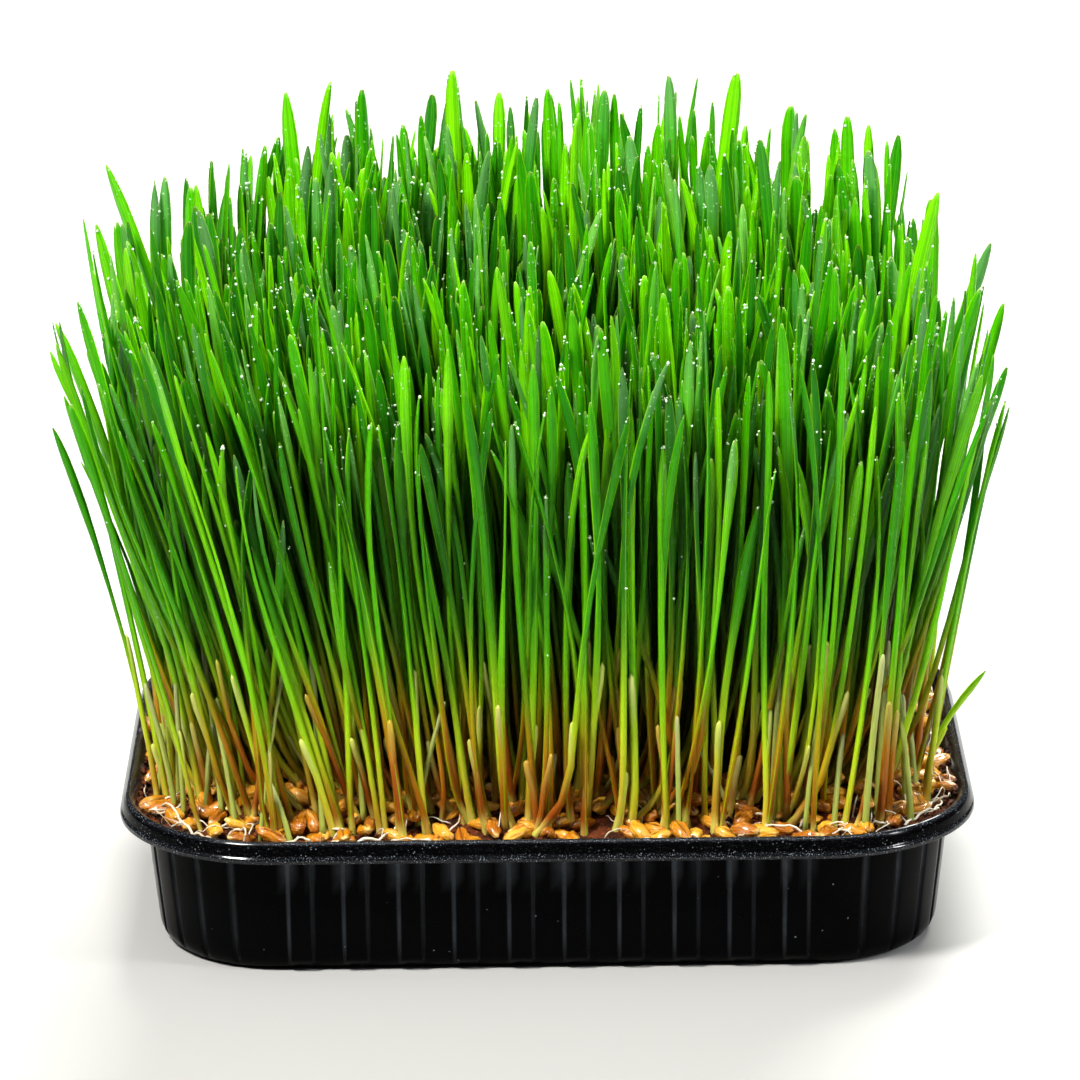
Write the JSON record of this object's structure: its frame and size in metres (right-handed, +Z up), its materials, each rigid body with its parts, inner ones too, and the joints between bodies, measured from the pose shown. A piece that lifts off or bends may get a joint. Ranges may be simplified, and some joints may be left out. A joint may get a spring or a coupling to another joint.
{
  "type": "wheatgrass tray",
  "caption": "Dense stand of fresh wheatgrass growing from a bed of sprouted grain in a low black ribbed tray with rounded corners.",
  "frame": {"origin": "centre of the tray's flat base, on the surface that it stands on", "axes": "+X along the tray's length, -Y towards its front, +Z up along the shoots"},
  "size_m": [0.2004, 0.1523, 0.169],
  "materials": {
    "tray_plastic": "gloss",
    "coir_soil": "matte",
    "wheat_grain": "satin",
    "grass_blade": "satin"
  },
  "bodies": {
    "root": {"tray": "tray_plastic", "soil": "coir_soil", "grain_bed": "wheat_grain", "shoots_01": "grass_blade", "shoots_02": "grass_blade", "shoots_03": "grass_blade", "shoots_04": "grass_blade", "shoots_05": "grass_blade", "shoots_06": "grass_blade", "shoots_07": "grass_blade", "shoots_08": "grass_blade", "shoots_09": "grass_blade", "shoots_10": "grass_blade", "shoots_11": "grass_blade", "shoots_12": "grass_blade", "shoots_13": "grass_blade", "shoots_14": "grass_blade", "shoots_15": "grass_blade", "shoots_16": "grass_blade", "shoots_17": "grass_blade", "shoots_18": "grass_blade", "shoots_19": "grass_blade", "shoots_20": "grass_blade", "shoots_21": "grass_blade", "shoots_22": "grass_blade", "shoots_23": "grass_blade", "shoots_24": "grass_blade", "shoots_25": "grass_blade", "shoots_26": "grass_blade", "shoots_27": "grass_blade", "shoots_28": "grass_blade", "shoots_29": "grass_blade", "shoots_30": "grass_blade", "shoots_31": "grass_blade", "shoots_32": "grass_blade", "shoots_33": "grass_blade", "shoots_34": "grass_blade", "shoots_35": "grass_blade", "shoots_36": "grass_blade", "shoots_37": "grass_blade", "shoots_38": "grass_blade", "shoots_39": "grass_blade", "shoots_40": "grass_blade"}
  },
  "joints": []
}
